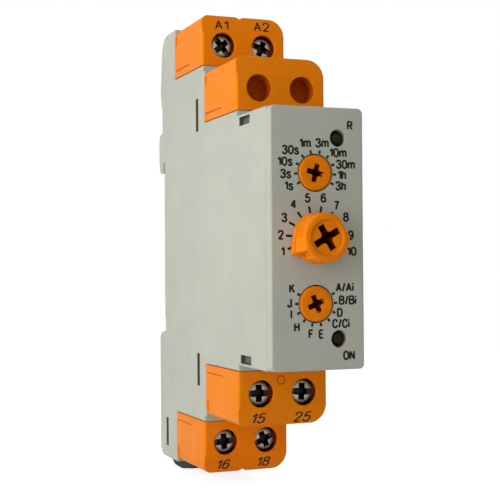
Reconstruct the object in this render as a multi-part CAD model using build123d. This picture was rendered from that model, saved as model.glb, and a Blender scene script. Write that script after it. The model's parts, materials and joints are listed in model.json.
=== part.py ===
"""DIN rail timer relay, one module wide, built as separate parts.

Frame: millimetres, +Z up as mounted, the front faces -Y, +X to the right.
The origin is the centre of the rail seat, the face that rests on the rail.
"""
import os
from math import cos, radians, sin

from build123d import *

os.makedirs("parts", exist_ok=True)

# ---- driving dimensions -------------------------------------------------
width = 17.5                # one module
nose_height = 45.0
nose_front = -60.0          # front face of the nose, from the rail seat
back_y = 3.7                # back of the housing behind the rail seat
front_row = -44.4           # front face of the inner pair of terminal caps
front_row_back = -26.7
rear_row = -25.6            # front face of the outer pair of terminal caps
rear_row_back = -8.1
front_cap_z = (23.6, 33.65)  # inner and outer edge, from mid height
rear_cap_z = (34.9, 45.0)
wall = 1.4
cover_t = 1.2
seam = 0.1                  # visible gap between parts that meet
rail_half = 17.5            # half of the 35 mm rail

# terminals, depths counted from the cap's front face
pole_x = 4.25
screw_w = 4.2               # screw axis from the cap's inner edge
access_r = 2.5
head_r, head_t, head_depth = 2.25, 1.85, 1.35
shank_r = 1.45
nut_r = 1.5
clamp_travel = 2.5          # five turns of 0.5 mm pitch
bar_depth, bar_t, bar_w = 8.75, 0.8, 4.0
wire_r, wire_depth = 1.7, 11.1

# controls on the nose
dial_x = -0.4
dial_z = 11.15
dial_r = 3.05
knob_r = 4.2
knob_face = -64.8
spindle_r = 1.5
led_x = 3.9
led_z = 17.2
led_r = 1.45

# rail latch
latch_half = 4.5
latch_lip_half = 3.4        # the part that shows between the housing's lips
foot_half = 6.5
foot_top = -45.5
spring_bottom, spring_top = -34.6, -24.1

half = width / 2
nose_half = nose_height / 2
left = -half
left_in = left + wall
cover_in = half - cover_t
housing_right = cover_in - seam
panel_t = 1.9
panel_back = nose_front + panel_t


# ---- helpers -------------------------------------------------------------
def block(x, y, z):
    """Box from three (low, high) pairs, in any order within a pair."""
    size = [abs(b - a) for a, b in (x, y, z)]
    middle = [(a + b) / 2 for a, b in (x, y, z)]
    return Pos(*middle) * Box(*size)


def rod_y(radius, x, z, y0, y1):
    """Cylinder along Y."""
    turned = Rot(-90, 0, 0) * Cylinder(radius, abs(y1 - y0))
    return Pos(x, (y0 + y1) / 2, z) * turned


def rod_z(radius, x, y, z0, z1):
    """Cylinder along Z."""
    return Pos(x, y, (z0 + z1) / 2) * Cylinder(radius, abs(z1 - z0))


def rod_x(radius, y, z, x0, x1):
    """Cylinder along X."""
    return Pos((x0 + x1) / 2, y, z) * (Rot(0, 90, 0) * Cylinder(radius, abs(x1 - x0)))


def side_sketch(points, rounds=()):
    """Face in the YZ plane from (y, z) points, with some corners rounded."""
    face = Polygon(*points, align=None)
    for place, radius in rounds:
        corner = min(face.vertices(), key=lambda v: (v.X - place[0]) ** 2 + (v.Y - place[1]) ** 2)
        face = fillet(corner, radius)
    return face


def along_x(face, x0, x1):
    """Extrude a YZ face from x0 to x1."""
    return extrude(Plane.YZ.offset(x0) * face, x1 - x0, dir=(1, 0, 0))


def front_face(face, y0, y1):
    """Extrude an XZ face, drawn as seen from the front, from y0 to y1."""
    front = Plane((0, y0, 0), x_dir=(1, 0, 0), z_dir=(0, -1, 0))
    return extrude(front * face, y0 - y1, dir=(0, -1, 0))


def cross_recess(arm, thick, x, z, y0, y1, turn):
    """Cross-shaped driver recess, turned clockwise from upright."""
    plan = Rectangle(2 * arm, thick) + Rectangle(thick, 2 * arm)
    plan += Circle(thick * 0.78)
    return front_face(Pos(x, z) * (Rot(0, 0, -turn) * plan), y0, y1)


# ---- housing ---------------------------------------------------------------
slot_floor = -0.3           # the rail's edges have a little room at the seat's ends
hook_front = 1.15
hook_end = rail_half - 1.7
slot_end = rail_half + 0.45
latch_lip = rail_half + 0.7
housing_top = 45.3


def outer_profile():
    """Side outline of the housing, without the four terminal caps."""
    step = front_cap_z[0] - seam
    shoulder = rear_cap_z[0] - seam
    top = housing_top
    points = [
        (panel_back + seam, nose_half), (front_row, nose_half), (front_row, step),
        (front_row_back + seam, step), (front_row_back + seam, front_cap_z[1]),
        (rear_row, front_cap_z[1]), (rear_row, shoulder),
        (rear_row_back + seam, shoulder), (rear_row_back + seam, top),
        (0.9, top), (2.1, 36.0), (2.5, 33.7), (2.1, 31.2), (1.3, 29.6), (1.3, 24.7),
        (3.3, 24.3), (back_y, 22.4), (back_y, 18.2), (3.0, hook_end),
        (hook_front, hook_end), (hook_front, slot_end), (slot_floor, slot_end),
        (slot_floor, hook_end - 0.5), (0, hook_end - 0.5),
        (0, -(hook_end - 0.5)), (slot_floor, -(hook_end - 0.5)), (slot_floor, -latch_lip),
        (2.9, -latch_lip - 0.6), (back_y, -latch_lip - 1.7), (back_y, -top),
        (rear_row_back + seam, -top), (rear_row_back + seam, -shoulder),
        (rear_row, -shoulder), (rear_row, -front_cap_z[1]),
        (front_row_back + seam, -front_cap_z[1]), (front_row_back + seam, -step),
        (front_row, -step), (front_row, -nose_half), (panel_back + seam, -nose_half),
    ]
    rounds = [((0.9, top), 4.2), ((back_y, -top), 2.4), ((3.0, hook_end), 0.6),
              ((2.5, 33.7), 1.2), ((back_y, 22.4), 1.2), ((1.3, 29.6), 0.6)]
    return side_sketch(points, rounds)


def cavity():
    """Room inside the housing, open to the right-hand cover."""
    inside = (left_in, housing_right + 1)
    nose = block(inside, (panel_back, front_row + 2), (-nose_half + 1.0, nose_half - 1.0))
    middle = block(inside, (front_row + wall, -1.4), (-22.1, 22.1))
    upper = block(inside, (front_row_back + wall, -1.4), (20, rear_cap_z[0] - wall))
    lower = block(inside, (front_row_back + wall, -2.7), (-rear_cap_z[0] + wall, -20))
    top = block(inside, (rear_row_back + wall, -0.2), (30, 43.9))
    bottom = block(inside, (rear_row_back + wall, -2.7), (-43.9, -30))
    return nose + middle + upper + lower + top + bottom


arm_x = (6.5, 7.3)          # snap arms of the front panel, from the middle outwards
arm_z = (20.55, 21.9)
arm_end = -45.6
window_y = (-50.85, -45.65)  # side windows where the arms' catches show
window_z = (20.45, 22.0)


def arm_slots(clear):
    """Room for the front panel's snap arms, on both sides, top and bottom."""
    arms = None
    for side in (-1, 1):
        for up in (-1, 1):
            bar = block((side * (arm_x[0] - clear), side * (arm_x[1] + clear)),
                        (panel_back, arm_end + clear), (up * (arm_z[0] - clear), up * (arm_z[1] + clear)))
            arms = bar if arms is None else arms + bar
    return arms


def lugs(outer_x, clear, side):
    """Catch on the snap arms that shows in the side windows."""
    made = None
    for up in (-1, 1):
        lug = block((side * (arm_x[1] - 0.1), side * outer_x), (window_y[0] - clear, window_y[1] + clear),
                    (up * (window_z[0] - clear), up * (window_z[1] + clear)))
        made = lug if made is None else made + lug
    return made


slot_w = 1.6
slot_places = [(-23.0, (22.2, 28.7)), (-23.0, (-28.1, -21.7)), (-2.1, (-42.8, -36.8))]


def side_slots(x0, x1):
    """Narrow upright slots in a side wall."""
    cut = None
    for y, z in slot_places:
        slot = block((x0, x1), (y, y + slot_w), z)
        cut = slot if cut is None else cut + slot
    return cut


peg_r = 1.0                 # pegs of the side cover, pressed into bosses
boss_r = 2.0
peg_places = [(-47.6, 17.6), (-47.6, -17.6), (-4.4, 38.5), (-30.0, 19.6), (-30.0, -19.6)]
bar_slot_places = [(front_row + bar_depth, front_cap_z[0]), (rear_row + bar_depth, rear_cap_z[0])]


def bar_slots():
    """Slits in the housing's steps where the contact bars pass in."""
    cut = None
    for depth, edge in bar_slot_places:
        for up in (-1, 1):
            for x in (-pole_x, pole_x):
                slit = block((x - 2.15, x + 2.15), (depth - 0.15, depth + bar_t + 0.15),
                             (up * (edge - 2.2), up * (edge + 0.5)))
                cut = slit if cut is None else cut + slit
    return cut


def latch_channel():
    """Guide for the latch: wide inside, with lips at the back."""
    below, above = foot_top - 0.5, -15.9
    room = block((-latch_half - 0.2, latch_half + 0.2), (-1.25, 2.95), (below, above))
    mouth = block((-latch_lip_half - 0.2, latch_lip_half + 0.2), (2.9, back_y + 1), (below, above))
    foot = block((-foot_half - 0.3, foot_half + 0.3), (-4, back_y + 1), (below, -housing_top - 0.01))
    return room + mouth + foot


def spring_rest():
    """Ledge in the channel that carries the spring's fixed end."""
    return block((-1.8, 1.8), (-1.4, 2.3), (-36.0, spring_bottom))


def housing_body():
    """Left shell with the side, step and back walls, open to the right."""
    shell = along_x(outer_profile(), left, housing_right)
    rim = [e for e in shell.edges().filter_by(Plane.YZ) if abs(e.center().X - left) < 0.01]
    shell = chamfer(rim, 0.2)
    shell -= cavity()
    shell -= arm_slots(0.1)
    shell -= lugs(9, 0, -1) + lugs(9, 0, 1)
    shell -= side_slots(left - 1, left_in + 1)
    shell -= bar_slots()
    shell -= latch_channel()
    shell += spring_rest()
    for y, z in peg_places:
        boss = rod_x(boss_r, y, z, left_in - 0.3, 3.5) - rod_x(peg_r + 0.05, y, z, -2, 4)
        shell += boss
    return shell


def side_cover():
    """Right-hand lid with its pegs."""
    plate = along_x(outer_profile(), cover_in, half)
    rim = [e for e in plate.edges().filter_by(Plane.YZ) if abs(e.center().X - half) < 0.01]
    plate = chamfer(rim, 0.2)
    plate -= lugs(9, 0, 1)
    plate -= side_slots(cover_in - 1, half + 1)
    for y, z in peg_places:
        plate += rod_x(peg_r, y, z, -1.0, cover_in + 0.2)
    return plate


def front_panel():
    """Nose front: a plate with rounded edges and four snap arms."""
    plan = RectangleRounded(width, nose_height, 0.9)
    plate = front_face(plan, panel_back, nose_front)
    edge = [e for e in plate.edges() if abs(e.center().Y - nose_front) < 0.01]
    plate = fillet(edge, 0.45)
    for z in (-dial_z, dial_z):
        plate -= rod_y(dial_r + 0.2, dial_x, z, nose_front - 1, panel_back + 1)
    plate -= rod_y(2.0, dial_x, 0, nose_front - 1, panel_back + 1)
    for z in (-led_z, led_z):
        plate -= rod_y(led_r + 0.05, led_x, z, nose_front - 1, panel_back + 1)
    for side in (-1, 1):
        for up in (-1, 1):
            plate += block((side * arm_x[0], side * arm_x[1]), (panel_back - 0.2, arm_end),
                           (up * arm_z[0], up * arm_z[1]))
        plate += lugs(7.95, -0.08, side)
    return plate


# ---- terminal caps -------------------------------------------------------
cap_wall = 1.1
cap_front_t = 1.3
shelf_depth = head_depth + head_t + 0.05
shelf_t = 1.0
bend_w = 6.6                # where the label band starts to lean back
lean = 0.45
notch_x, notch_half = -0.75, 0.8    # shallow notch in the outer edge
corner_left, corner_right = 1.6, 3.6


def cap_outline(inner, outer):
    """Front view of an upper cap: small left corner, large right corner."""
    face = Polygon((-half, inner), (half, inner), (half, outer), (notch_x + notch_half, outer),
                   (notch_x, outer - 0.5), (notch_x - notch_half, outer), (-half, outer), align=None)
    for place, radius in (((half, outer), corner_right), ((-half, outer), corner_left)):
        corner = min(face.vertices(), key=lambda v: abs(v.X - place[0]) + abs(v.Y - place[1]))
        face = fillet(corner, radius)
    return face


def upper_cap(front, back, inner, outer, live):
    """Orange cap of the upper row, with its chambers."""
    body = front_face(cap_outline(inner, outer), back, front)
    side = side_sketch([(front, inner), (front, inner + bend_w), (front + lean, outer), (back, outer),
                        (back, inner)], [((front + lean, outer), 0.5), ((back, outer), 1.5)])
    body = body & along_x(side, left, half)
    edge = [e for e in body.edges().filter_by(Axis.Z) if abs(e.center().Y - front) < 0.3]
    body = fillet(edge, 0.45)
    for x in (-pole_x, pole_x):
        low, high = (left + cap_wall, -0.5) if x < 0 else (0.5, half - cap_wall)
        if live:
            body -= block((low, high), (front + cap_front_t, front + shelf_depth),
                          (inner - 1, outer - cap_wall - 0.2))
            body -= block((low, high), (front + shelf_depth + shelf_t, back - cap_wall),
                          (inner - 1, outer - cap_wall - 0.2))
            body -= rod_y(shank_r + 0.25, x, inner + screw_w, front + 1, front + 6)
            bore_y = front + wire_depth
            body -= rod_z(wire_r, x, bore_y, outer - 3, outer + 1)
            rim = Pos(x, bore_y, outer - 0.2) * Cone(wire_r, wire_r + 0.5, 0.42)
            body -= rim
        else:
            body -= block((low, high), (front + 5.0, back - cap_wall), (inner - 1, outer - cap_wall - 0.2))
        deep = front + (3.0 if live else 3.6)
        body -= rod_y(access_r, x, inner + screw_w, front - 1, deep)
    return body - side_marks(back, inner, outer)


def side_marks(back, inner, outer):
    """Shallow moulding marks on the cap's left face."""
    dimple = block((left - 1, left + 0.35), (back - 1.35, back - 0.7), (outer - 3.4, outer - 1.3))
    groove = block((left - 1, left + 0.3), (back - 9.6, back + 1), (inner + 1.35, inner + 1.6))
    pip = block((left - 1, left + 0.8), (back - 0.55, back + 1), (inner + 1.2, inner + 1.8))
    band = Polygon((left - 1, outer - 3.4), (left, outer - 3.4), (left + 0.14, outer + 1),
                   (left - 1, outer + 1), align=None)
    return dimple + groove + pip + front_face(band, back - 1.35, back - 40)


def cap(front, back, edges, live, upper):
    """A cap on its own row; the lower ones are mirror images in height."""
    made = upper_cap(front, back, edges[0], edges[1], live)
    return made if upper else mirror(made, Plane.XY)


# ---- terminal parts ---------------------------------------------------------
def head_recess(x, z, head_y, turn):
    """Cross and slot cut together in the head, turned clockwise."""
    cross = cross_recess(1.15, 0.62, x, z, head_y + 1.25, head_y - 1, turn)
    slot = Pos(x, z) * (Rot(0, 0, -turn) * Rectangle(2 * head_r + 1, 0.72))
    return cross + front_face(slot, head_y + 0.75, head_y - 1)


def terminal_screw(x, z, front, turn):
    """Captive clamp screw with a combined slot and cross head."""
    y0 = front + head_depth
    head = rod_y(head_r, x, z, y0, y0 + head_t)
    crown = [e for e in head.edges() if abs(e.center().Y - y0) < 0.01]
    head = fillet(crown, 0.5)
    shank = rod_y(shank_r, x, z, y0 + head_t, front + bar_depth - 0.1)
    tip = [e for e in shank.edges() if abs(e.center().Y - (front + bar_depth - 0.1)) < 0.01]
    shank = chamfer(tip, 0.3)
    return head + shank - head_recess(x, z, y0, turn)


cage_half = 2.85
cage_t = 0.7
nut_t = 1.6
cage_front = bar_depth - 0.2 - nut_t     # depth of the nut wall when open
cage_gap = clamp_travel + 0.6            # wire opening when open


def clamp_cage(x, z, front):
    """Rising cage, shown fully open: a ring around the contact bar."""
    y0 = front + cage_front
    floor = front + bar_depth + bar_t + cage_gap
    ring = block((x - cage_half, x + cage_half), (y0, floor + 0.8), (z - 2.7, z + 2.7))
    inner = cage_half - cage_t
    ring -= block((x - inner, x + inner), (y0 + nut_t, floor), (z - 3, z + 3))
    ring -= rod_y(nut_r, x, z, y0 - 1, y0 + nut_t + 0.5)
    grips = [block((x - 1.6, x + 1.6), (floor - 0.15, floor + 0.1), (z + s - 0.2, z + s + 0.2))
             for s in (-1.4, 0, 1.4)]
    for grip in grips:
        ring += grip
    return ring


board_x = 6.15              # left face of the main board
board_t = 1.0
leg_w = 1.2


def contact_bar(x, front, edge, up):
    """Bar under the screw, with a leg across to the main board."""
    y = (front + bar_depth, front + bar_depth + bar_t)
    bar = block((x - bar_w / 2, x + bar_w / 2), y, (up * (edge - 0.9), up * (edge + 7.3)))
    reach = 2.6 if x > 0 else 4.4
    stem_x = board_x - leg_w if x > 0 else x
    bar += block((stem_x - leg_w / 2, stem_x + leg_w / 2), y, (up * (edge - reach), up * edge))
    bar += block((stem_x - leg_w / 2, board_x), y, (up * (edge - reach), up * (edge - reach + 1.0)))
    return bar


# ---- controls ----------------------------------------------------------------
dial_front = nose_front - 0.15
spindle_end = -53.2


def small_dial(z, turn):
    """Flush dial with a cross recess and a spindle."""
    disc = rod_y(dial_r, dial_x, z, dial_front, panel_back + 0.3)
    edge = [e for e in disc.edges() if abs(e.center().Y - dial_front) < 0.01]
    disc = fillet(edge, 0.35)
    spindle = rod_y(spindle_r, dial_x, z, panel_back + 0.3, spindle_end)
    return disc + spindle - cross_recess(1.6, 0.85, dial_x, z, nose_front + 1.35, nose_front - 1, turn)


def time_knob():
    """Raised knob: round base, wedge pointer and a flat opposite to it."""
    pointer = -120              # clockwise from upright
    tip_r = 5.1
    slope = 48                  # of each flank of the pointer, from its own axis
    flank = radians(slope)
    reach = tip_r * sin(flank)
    nose = Polygon((0, tip_r), (-reach * cos(flank), reach * sin(flank)), (0, 0),
                   (reach * cos(flank), reach * sin(flank)), align=None)
    trim = None
    for side in (-1, 1):
        cut = Pos(0, tip_r) * (Rot(0, 0, side * (slope - 90)) * (Pos(side * 5, 3) * Rectangle(10, 6)))
        trim = cut if trim is None else trim + cut
    plan = Circle(knob_r) - trim + nose
    plan -= Pos(0, -knob_r - 2.55) * Rectangle(9, 6)
    plan = Pos(dial_x, 0) * (Rot(0, 0, -pointer) * plan)
    base_y, base_t = dial_front, 1.0
    grip = front_face(plan, base_y - base_t + 0.1, knob_face)
    rim = [e for e in grip.edges() if abs(e.center().Y - knob_face) < 0.01]
    grip = chamfer(rim, 0.35)
    base = rod_y(knob_r + 0.15, dial_x, 0, base_y, base_y - base_t)
    point = Polygon((-1.6, 3.6), (1.6, 3.6), (0, 5.35), align=None)
    point = Pos(dial_x, 0) * (Rot(0, 0, -pointer) * point)
    base += front_face(point, base_y, base_y - base_t)
    knob = grip + base + rod_y(spindle_r, dial_x, 0, base_y, spindle_end)
    knob -= rod_y(3.0, dial_x, 0, knob_face - 1, knob_face + 0.3)
    return knob - cross_recess(2.35, 1.15, dial_x, 0, knob_face + 2.4, knob_face - 1, -30)


front_board_y = (-52.2, -51.2)
switch_back = front_board_y[0]


def control_body(z, depth, size):
    """Rotary switch or potentiometer body behind the panel."""
    body = block((dial_x - size / 2, dial_x + size / 2), (switch_back - depth, switch_back),
                 (z - size / 2, z + size / 2))
    edges = body.edges().filter_by(Axis.Y)
    body = chamfer(edges, 0.8)
    return body - rod_y(spindle_r + 0.06, dial_x, z, -60, -53.0)


led_lead_x, led_lead_r = 0.6, 0.22


def status_led(z):
    """Small round lamp with its domed tip just inside the panel's face."""
    tip = nose_front + 0.25
    back = tip + 5.0
    lens = rod_y(led_r, led_x, z, tip + led_r, back)
    lens += Pos(led_x, tip + led_r, z) * Sphere(led_r)
    lens += rod_y(led_r + 0.25, led_x, z, back - 0.8, back)
    for side in (-led_lead_x, led_lead_x):
        lens += rod_y(led_lead_r, led_x + side, z, back - 0.1, front_board_y[0])
    return lens


# ---- boards and components ------------------------------------------------------
def main_board():
    """Board along the right side, reaching both rows of terminals."""
    board = block((board_x, board_x + board_t), (-42.6, -2.2), (-21.3, 21.3))
    board += block((board_x, board_x + board_t), (-24.9, -9.6), (-32.8, 32.8))
    for y, z in peg_places:
        board -= rod_x(peg_r + 0.4, y, z, board_x - 1, board_x + board_t + 1)
    return board


def front_board():
    """Board behind the panel that carries the controls and the lamps."""
    board = block((-6.3, 6.0), front_board_y, (-20.2, 20.2))
    for z in (-dial_z, dial_z, 0):
        board -= rod_y(0.8, dial_x, z, -54, -50)
    for z in (-led_z, led_z):
        for side in (-led_lead_x, led_lead_x):
            board -= rod_y(led_lead_r + 0.13, led_x + side, z, -54, -50)
    return board


def board_link():
    """Row of pins from the front board to the main board."""
    pins, pitch, strip = 6, 2.4, 2.4
    behind = front_board_y[1]
    link = block((3.0, board_x), (behind, behind + strip), (-7, 7))
    for step in range(pins):
        z = (step - (pins - 1) / 2) * pitch
        link += block((board_x - 0.7, board_x), (behind + strip - 0.1, -40.5), (z - 0.3, z + 0.3))
    return link


def relay():
    """Sealed changeover relay with its pins."""
    case = block((-6.6, 5.4), (-40.5, -24.5), (-17.0, 12.0))
    case = fillet(case.edges().filter_by(Axis.X), 0.8)
    for y in (-38.5, -26.5):
        for z in (-15.0, -8.0, 9.5):
            case += block((5.3, board_x), (y - 0.4, y + 0.4), (z - 0.25, z + 0.25))
    return case


def smoothing_capacitor():
    """Round electrolytic capacitor lying along the height."""
    can = rod_z(4.6, 0.6, -14.4, -14.0, 2.0)
    can = fillet(can.edges(), 0.6)
    for z in (-9.0, -4.0):
        can += rod_x(0.3, -14.4, z, 4.8, board_x)
    return can


def dropper_capacitor():
    """Boxed film capacitor."""
    case = block((-5.2, 4.6), (-22.4, -5.4), (4.6, 12.4))
    case = fillet(case.edges().filter_by(Axis.X), 0.5)
    for y in (-20.2, -7.6):
        case += rod_x(0.35, y, 8.5, 4.5, board_x)
    return case


def surge_disc():
    """Disc-shaped surge absorber."""
    disc = rod_z(3.6, 1.2, -15.0, 14.2, 17.0)
    disc = fillet(disc.edges(), 0.9)
    return disc + rod_x(0.3, -15.0, 15.6, 4.6, board_x)


def controller_chip():
    """Flat chip on the main board with its rows of leads."""
    body = block((4.6, 6.0), (-9.9, -4.9), (-12.0, -2.0))
    leads, pitch, middle = 7, 1.4, -7.0
    for step in range(leads):
        z = middle + (step - (leads - 1) / 2) * pitch
        body += block((5.4, board_x), (-10.6, -4.2), (z - 0.2, z + 0.2))
    return body


# ---- rail latch ------------------------------------------------------------------
def rail_latch():
    """Sliding latch: tongue at the rail's lower edge, pull foot below."""
    shoulder, tip, back = -20.0, -16.3, 3.4
    latch = block((-latch_half, latch_half), (-1.1, 2.8), (foot_top - 0.4, shoulder))
    latch += block((-latch_lip_half, latch_lip_half), (2.7, back), (foot_top - 0.4, shoulder))
    tongue = side_sketch([(hook_front, shoulder - 0.1), (hook_front, tip), (1.7, tip), (back, tip - 2.1),
                          (back, shoulder - 0.1)])
    latch += along_x(tongue, -latch_lip_half, latch_lip_half)
    latch -= block((-2.0, 2.0), (-2, 4), (spring_bottom - 1.5, spring_top))
    foot = side_sketch([(3.2, foot_top), (3.2, -46.2), (0.6, -47.3), (-4.5, -47.4), (-11.6, -46.3),
                        (-12.2, foot_top)], [((0.6, -47.3), 2.5), ((-4.5, -47.4), 6.0), ((3.2, -46.2), 0.4)])
    latch += along_x(foot, -foot_half, foot_half)
    driver_slot = block((-2.6, 2.6), (-10.2, -8.6), (-50, -44))
    return latch - driver_slot


def latch_spring():
    """Coil spring between the housing's ledge and the latch."""
    wire, coil, turns = 0.22, 1.3, 6
    length = spring_top - spring_bottom - 2 * wire - 0.1
    path = Helix(pitch=length / turns, height=length, radius=coil)
    ring = Plane(origin=path @ 0, z_dir=path % 0) * Circle(wire)
    return Pos(0, 0.85, spring_bottom + wire + 0.05) * sweep(ring, path, is_frenet=True)


# ---- write every part -----------------------------------------------------------
rows = {
    "upper_rear": (rear_row, rear_row_back, rear_cap_z, True, True),
    "upper_front": (front_row, front_row_back, front_cap_z, False, True),
    "lower_front": (front_row, front_row_back, front_cap_z, True, False),
    "lower_rear": (rear_row, rear_row_back, rear_cap_z, True, False),
}
terminals = {
    "A1": ("upper_rear", -pole_x, 50), "A2": ("upper_rear", pole_x, 22),
    "15": ("lower_front", -pole_x, 0), "25": ("lower_front", pole_x, 3),
    "16": ("lower_rear", -pole_x, -4), "18": ("lower_rear", pole_x, -25),
}


def write(name, shape):
    """Save one part as its own file."""
    export_step(shape, "parts/" + name + ".step")


def write_terminals():
    """Screw, cage and bar of each terminal position."""
    for name, (row, x, turn) in terminals.items():
        front, _, edges, _, upper = rows[row]
        up = 1 if upper else -1
        z = up * (edges[0] + screw_w)
        write("terminal_screw_" + name, terminal_screw(x, z, front, turn))
        write("clamp_cage_" + name, clamp_cage(x, z, front))
        write("contact_bar_" + name, contact_bar(x, front, edges[0], up))


write("housing_body", housing_body())
write("side_cover", side_cover())
write("front_panel", front_panel())
for row_name, row in rows.items():
    write("terminal_cap_" + row_name, cap(*row))
write_terminals()
write("range_dial", small_dial(dial_z, 13.33))
write("function_dial", small_dial(-dial_z, -113.33))
write("time_knob", time_knob())
write("range_switch", control_body(dial_z, 4.6, 9.0))
write("function_switch", control_body(-dial_z, 4.6, 9.0))
write("time_potentiometer", control_body(0, 4.4, 9.4))
write("status_led_upper", status_led(led_z))
write("status_led_lower", status_led(-led_z))
write("main_board", main_board())
write("front_board", front_board())
write("board_link", board_link())
write("output_relay", relay())
write("smoothing_capacitor", smoothing_capacitor())
write("dropper_capacitor", dropper_capacitor())
write("surge_disc", surge_disc())
write("controller_chip", controller_chip())
write("rail_latch", rail_latch())
write("latch_spring", latch_spring())
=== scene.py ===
# DIN rail timer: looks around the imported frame
import json
import math

import bmesh
import bpy
from mathutils import Matrix, Vector


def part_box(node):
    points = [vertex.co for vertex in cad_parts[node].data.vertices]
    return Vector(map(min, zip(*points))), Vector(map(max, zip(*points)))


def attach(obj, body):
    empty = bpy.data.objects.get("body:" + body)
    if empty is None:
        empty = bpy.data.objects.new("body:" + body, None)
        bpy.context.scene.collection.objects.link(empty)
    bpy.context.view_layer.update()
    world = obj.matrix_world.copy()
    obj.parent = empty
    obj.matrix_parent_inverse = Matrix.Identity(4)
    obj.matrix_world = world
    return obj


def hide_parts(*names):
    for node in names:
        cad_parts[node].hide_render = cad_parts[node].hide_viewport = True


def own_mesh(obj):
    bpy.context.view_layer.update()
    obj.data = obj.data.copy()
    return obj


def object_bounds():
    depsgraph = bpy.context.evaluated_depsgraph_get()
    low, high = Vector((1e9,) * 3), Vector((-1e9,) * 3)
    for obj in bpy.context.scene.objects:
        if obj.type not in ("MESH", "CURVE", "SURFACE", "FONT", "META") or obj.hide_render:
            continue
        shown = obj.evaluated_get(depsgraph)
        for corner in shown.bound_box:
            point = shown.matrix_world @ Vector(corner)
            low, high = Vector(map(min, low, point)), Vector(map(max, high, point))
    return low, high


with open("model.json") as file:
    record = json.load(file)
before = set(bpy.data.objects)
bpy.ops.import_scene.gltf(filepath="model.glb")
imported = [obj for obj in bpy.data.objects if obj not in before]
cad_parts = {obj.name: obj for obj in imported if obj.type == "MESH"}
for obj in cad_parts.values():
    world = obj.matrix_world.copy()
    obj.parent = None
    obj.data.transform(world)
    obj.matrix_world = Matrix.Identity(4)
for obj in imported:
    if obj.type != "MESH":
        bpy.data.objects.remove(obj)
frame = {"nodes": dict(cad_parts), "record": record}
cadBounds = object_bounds()
nodes = frame["nodes"]
mm = 0.001
print("frame loaded")

# places read from the frame
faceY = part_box("front_panel")[0][1]
dialLow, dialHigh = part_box("range_dial")
dialX = (dialLow[0] + dialHigh[0]) / 2
dialZ = (dialLow[2] + dialHigh[2]) / 2


# material helpers
def newMaterial(name):
    material = bpy.data.materials.new(name)
    material.use_nodes = True
    tree = material.node_tree
    shader = tree.nodes["Principled BSDF"]
    coords = tree.nodes.new("ShaderNodeTexCoord")
    return material, tree, shader, coords.outputs["Object"]


def addNoise(tree, place, scale, detail=2.0, roughness=0.5, stretch=None):
    if stretch:
        mapping = tree.nodes.new("ShaderNodeMapping")
        mapping.inputs["Scale"].default_value = stretch
        tree.links.new(place, mapping.inputs["Vector"])
        place = mapping.outputs["Vector"]
    noise = tree.nodes.new("ShaderNodeTexNoise")
    noise.inputs["Scale"].default_value = scale
    noise.inputs["Detail"].default_value = detail
    noise.inputs["Roughness"].default_value = roughness
    tree.links.new(place, noise.inputs["Vector"])
    return noise.outputs["Fac"]


def addRange(tree, value, low, high, newLow, newHigh):
    node = tree.nodes.new("ShaderNodeMapRange")
    for socket, number in (("From Min", low), ("From Max", high), ("To Min", newLow), ("To Max", newHigh)):
        node.inputs[socket].default_value = number
    tree.links.new(value, node.inputs["Value"])
    return node.outputs["Result"]


def mixColours(tree, factor, first, second):
    node = tree.nodes.new("ShaderNodeMix")
    node.data_type = "RGBA"
    tree.links.new(factor, node.inputs[0])
    for socket, colour in ((6, first), (7, second)):
        if isinstance(colour, tuple):
            node.inputs[socket].default_value = (*colour, 1)
        else:
            tree.links.new(colour, node.inputs[socket])
    return node.outputs[2]


def roundedNormal(tree, radius):
    # normals softened across edges, and how near a point is to an edge
    bevel = tree.nodes.new("ShaderNodeBevel")
    bevel.samples = 4
    bevel.inputs["Radius"].default_value = radius
    flat = tree.nodes.new("ShaderNodeNewGeometry").outputs["Normal"]
    turn = tree.nodes.new("ShaderNodeVectorMath")
    turn.operation = "DOT_PRODUCT"
    tree.links.new(bevel.outputs["Normal"], turn.inputs[0])
    tree.links.new(flat, turn.inputs[1])
    return bevel.outputs["Normal"], addRange(tree, turn.outputs["Value"], 0.99, 0.8, 0, 1)


def addBump(tree, shader, height, strength, distance, under=None):
    bump = tree.nodes.new("ShaderNodeBump")
    bump.inputs["Strength"].default_value = strength
    bump.inputs["Distance"].default_value = distance
    tree.links.new(height, bump.inputs["Height"])
    if under:
        tree.links.new(under, bump.inputs["Normal"])
    tree.links.new(bump.outputs["Normal"], shader.inputs["Normal"])


def joinValues(tree, operation, first, second):
    node = tree.nodes.new("ShaderNodeMath")
    node.operation = operation
    tree.links.new(first, node.inputs[0])
    tree.links.new(second, node.inputs[1])
    return node.outputs[0]


def boxMask(tree, place, low, high):
    # 1 inside a box given in millimetres
    middle = [(a + b) / 2 * mm for a, b in zip(low, high)]
    away = tree.nodes.new("ShaderNodeVectorMath")
    away.operation = "SUBTRACT"
    tree.links.new(place, away.inputs[0])
    away.inputs[1].default_value = middle
    size = tree.nodes.new("ShaderNodeVectorMath")
    size.operation = "ABSOLUTE"
    tree.links.new(away.outputs[0], size.inputs[0])
    split = tree.nodes.new("ShaderNodeSeparateXYZ")
    tree.links.new(size.outputs[0], split.inputs[0])
    inside = None
    for axis in range(3):
        near = tree.nodes.new("ShaderNodeMath")
        near.operation = "LESS_THAN"
        tree.links.new(split.outputs[axis], near.inputs[0])
        near.inputs[1].default_value = (high[axis] - low[axis]) / 2 * mm
        within = near.outputs[0]
        inside = joinValues(tree, "MULTIPLY", inside, within) if inside else within
    return inside


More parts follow.
